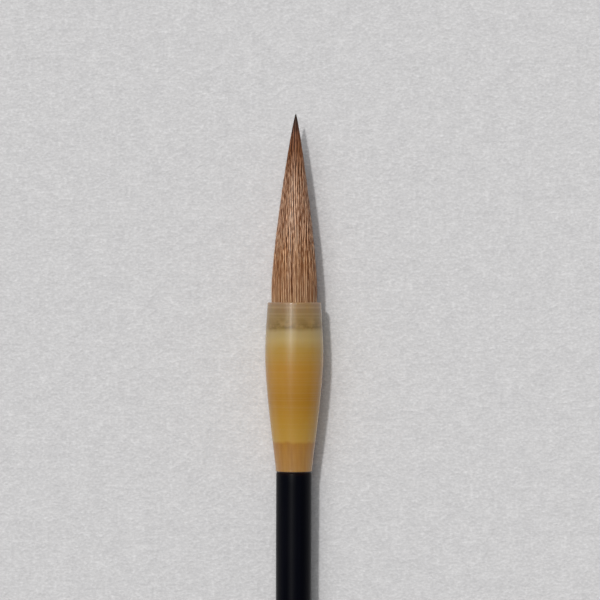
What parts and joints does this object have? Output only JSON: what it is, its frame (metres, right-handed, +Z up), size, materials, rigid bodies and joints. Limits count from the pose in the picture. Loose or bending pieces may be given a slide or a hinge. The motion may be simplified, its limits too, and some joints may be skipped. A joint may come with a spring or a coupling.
{
  "type": "calligraphy brush",
  "caption": "Round calligraphy brush: long pointed hair tuft in a bulged amber collar, slim black lacquered handle, amber tail cap with a hole for a hanging loop.",
  "frame": {"origin": "middle of the brush's length, straight below its axis, on the plane that the collar's widest part rests on", "axes": "+Y along the brush's axis from the tail cap to the tip of the hair, +Z up, +X to the right of someone who looks along +Y"},
  "size_m": [0.0148, 0.2626, 0.0148],
  "materials": {
    "amber_resin": "polished translucent amber resin, paler where it backs onto glue and hair",
    "black_lacquer": "bamboo under gloss black lacquer",
    "bare_wood": "plain turned dowel, unfinished",
    "clear_glue": "set pale yellow resin glue",
    "dark_rosin": "melted rosin, olive brown",
    "hemp_thread": "twisted natural hemp",
    "coat_hair": "tan brown animal hair with a soft sheen, combed straight",
    "inner_hair": "pale stiff animal hair",
    "core_hair": "dark red-brown animal hair, the longest in the tuft"
  },
  "bodies": {
    "handle": {"collar": "amber_resin", "tail_cap": "amber_resin", "handle_tube": "black_lacquer", "front_tenon": "bare_wood", "tail_plug": "bare_wood", "glue_bed": "clear_glue", "root_seal": "dark_rosin", "root_thread": "hemp_thread", "root_coat_hair": "coat_hair", "root_waist_hair": "inner_hair", "root_core_hair": "core_hair"},
    "belly": {"belly_coat_hair": "coat_hair", "belly_waist_hair": "inner_hair", "belly_core_hair": "core_hair"},
    "throat": {"throat_coat_hair": "coat_hair", "throat_core_hair": "core_hair"},
    "tip": {"tip_coat_hair": "coat_hair", "tip_core_hair": "core_hair"}
  },
  "joints": [
    {"name": "belly_bend", "type": "hinge", "parent": "handle", "child": "belly", "pos_m": [0, 0.09045, 0.00738], "axis": [0, 0, 1], "range_deg": [-16, 16], "stiffness_Nm_per_rad": 0.006},
    {"name": "throat_bend", "type": "hinge", "parent": "belly", "child": "throat", "pos_m": [0, 0.10345, 0.00738], "axis": [0, 0, 1], "range_deg": [-20, 20]},
    {"name": "tip_bend", "type": "hinge", "parent": "throat", "child": "tip", "pos_m": [0, 0.11695, 0.00738], "axis": [0, 0, 1], "range_deg": [-24, 24]}
  ],
  "couplings": [
    {"joint": "throat_bend", "follows": "belly_bend", "ratio": 1.25},
    {"joint": "tip_bend", "follows": "belly_bend", "ratio": 1.5}
  ]
}
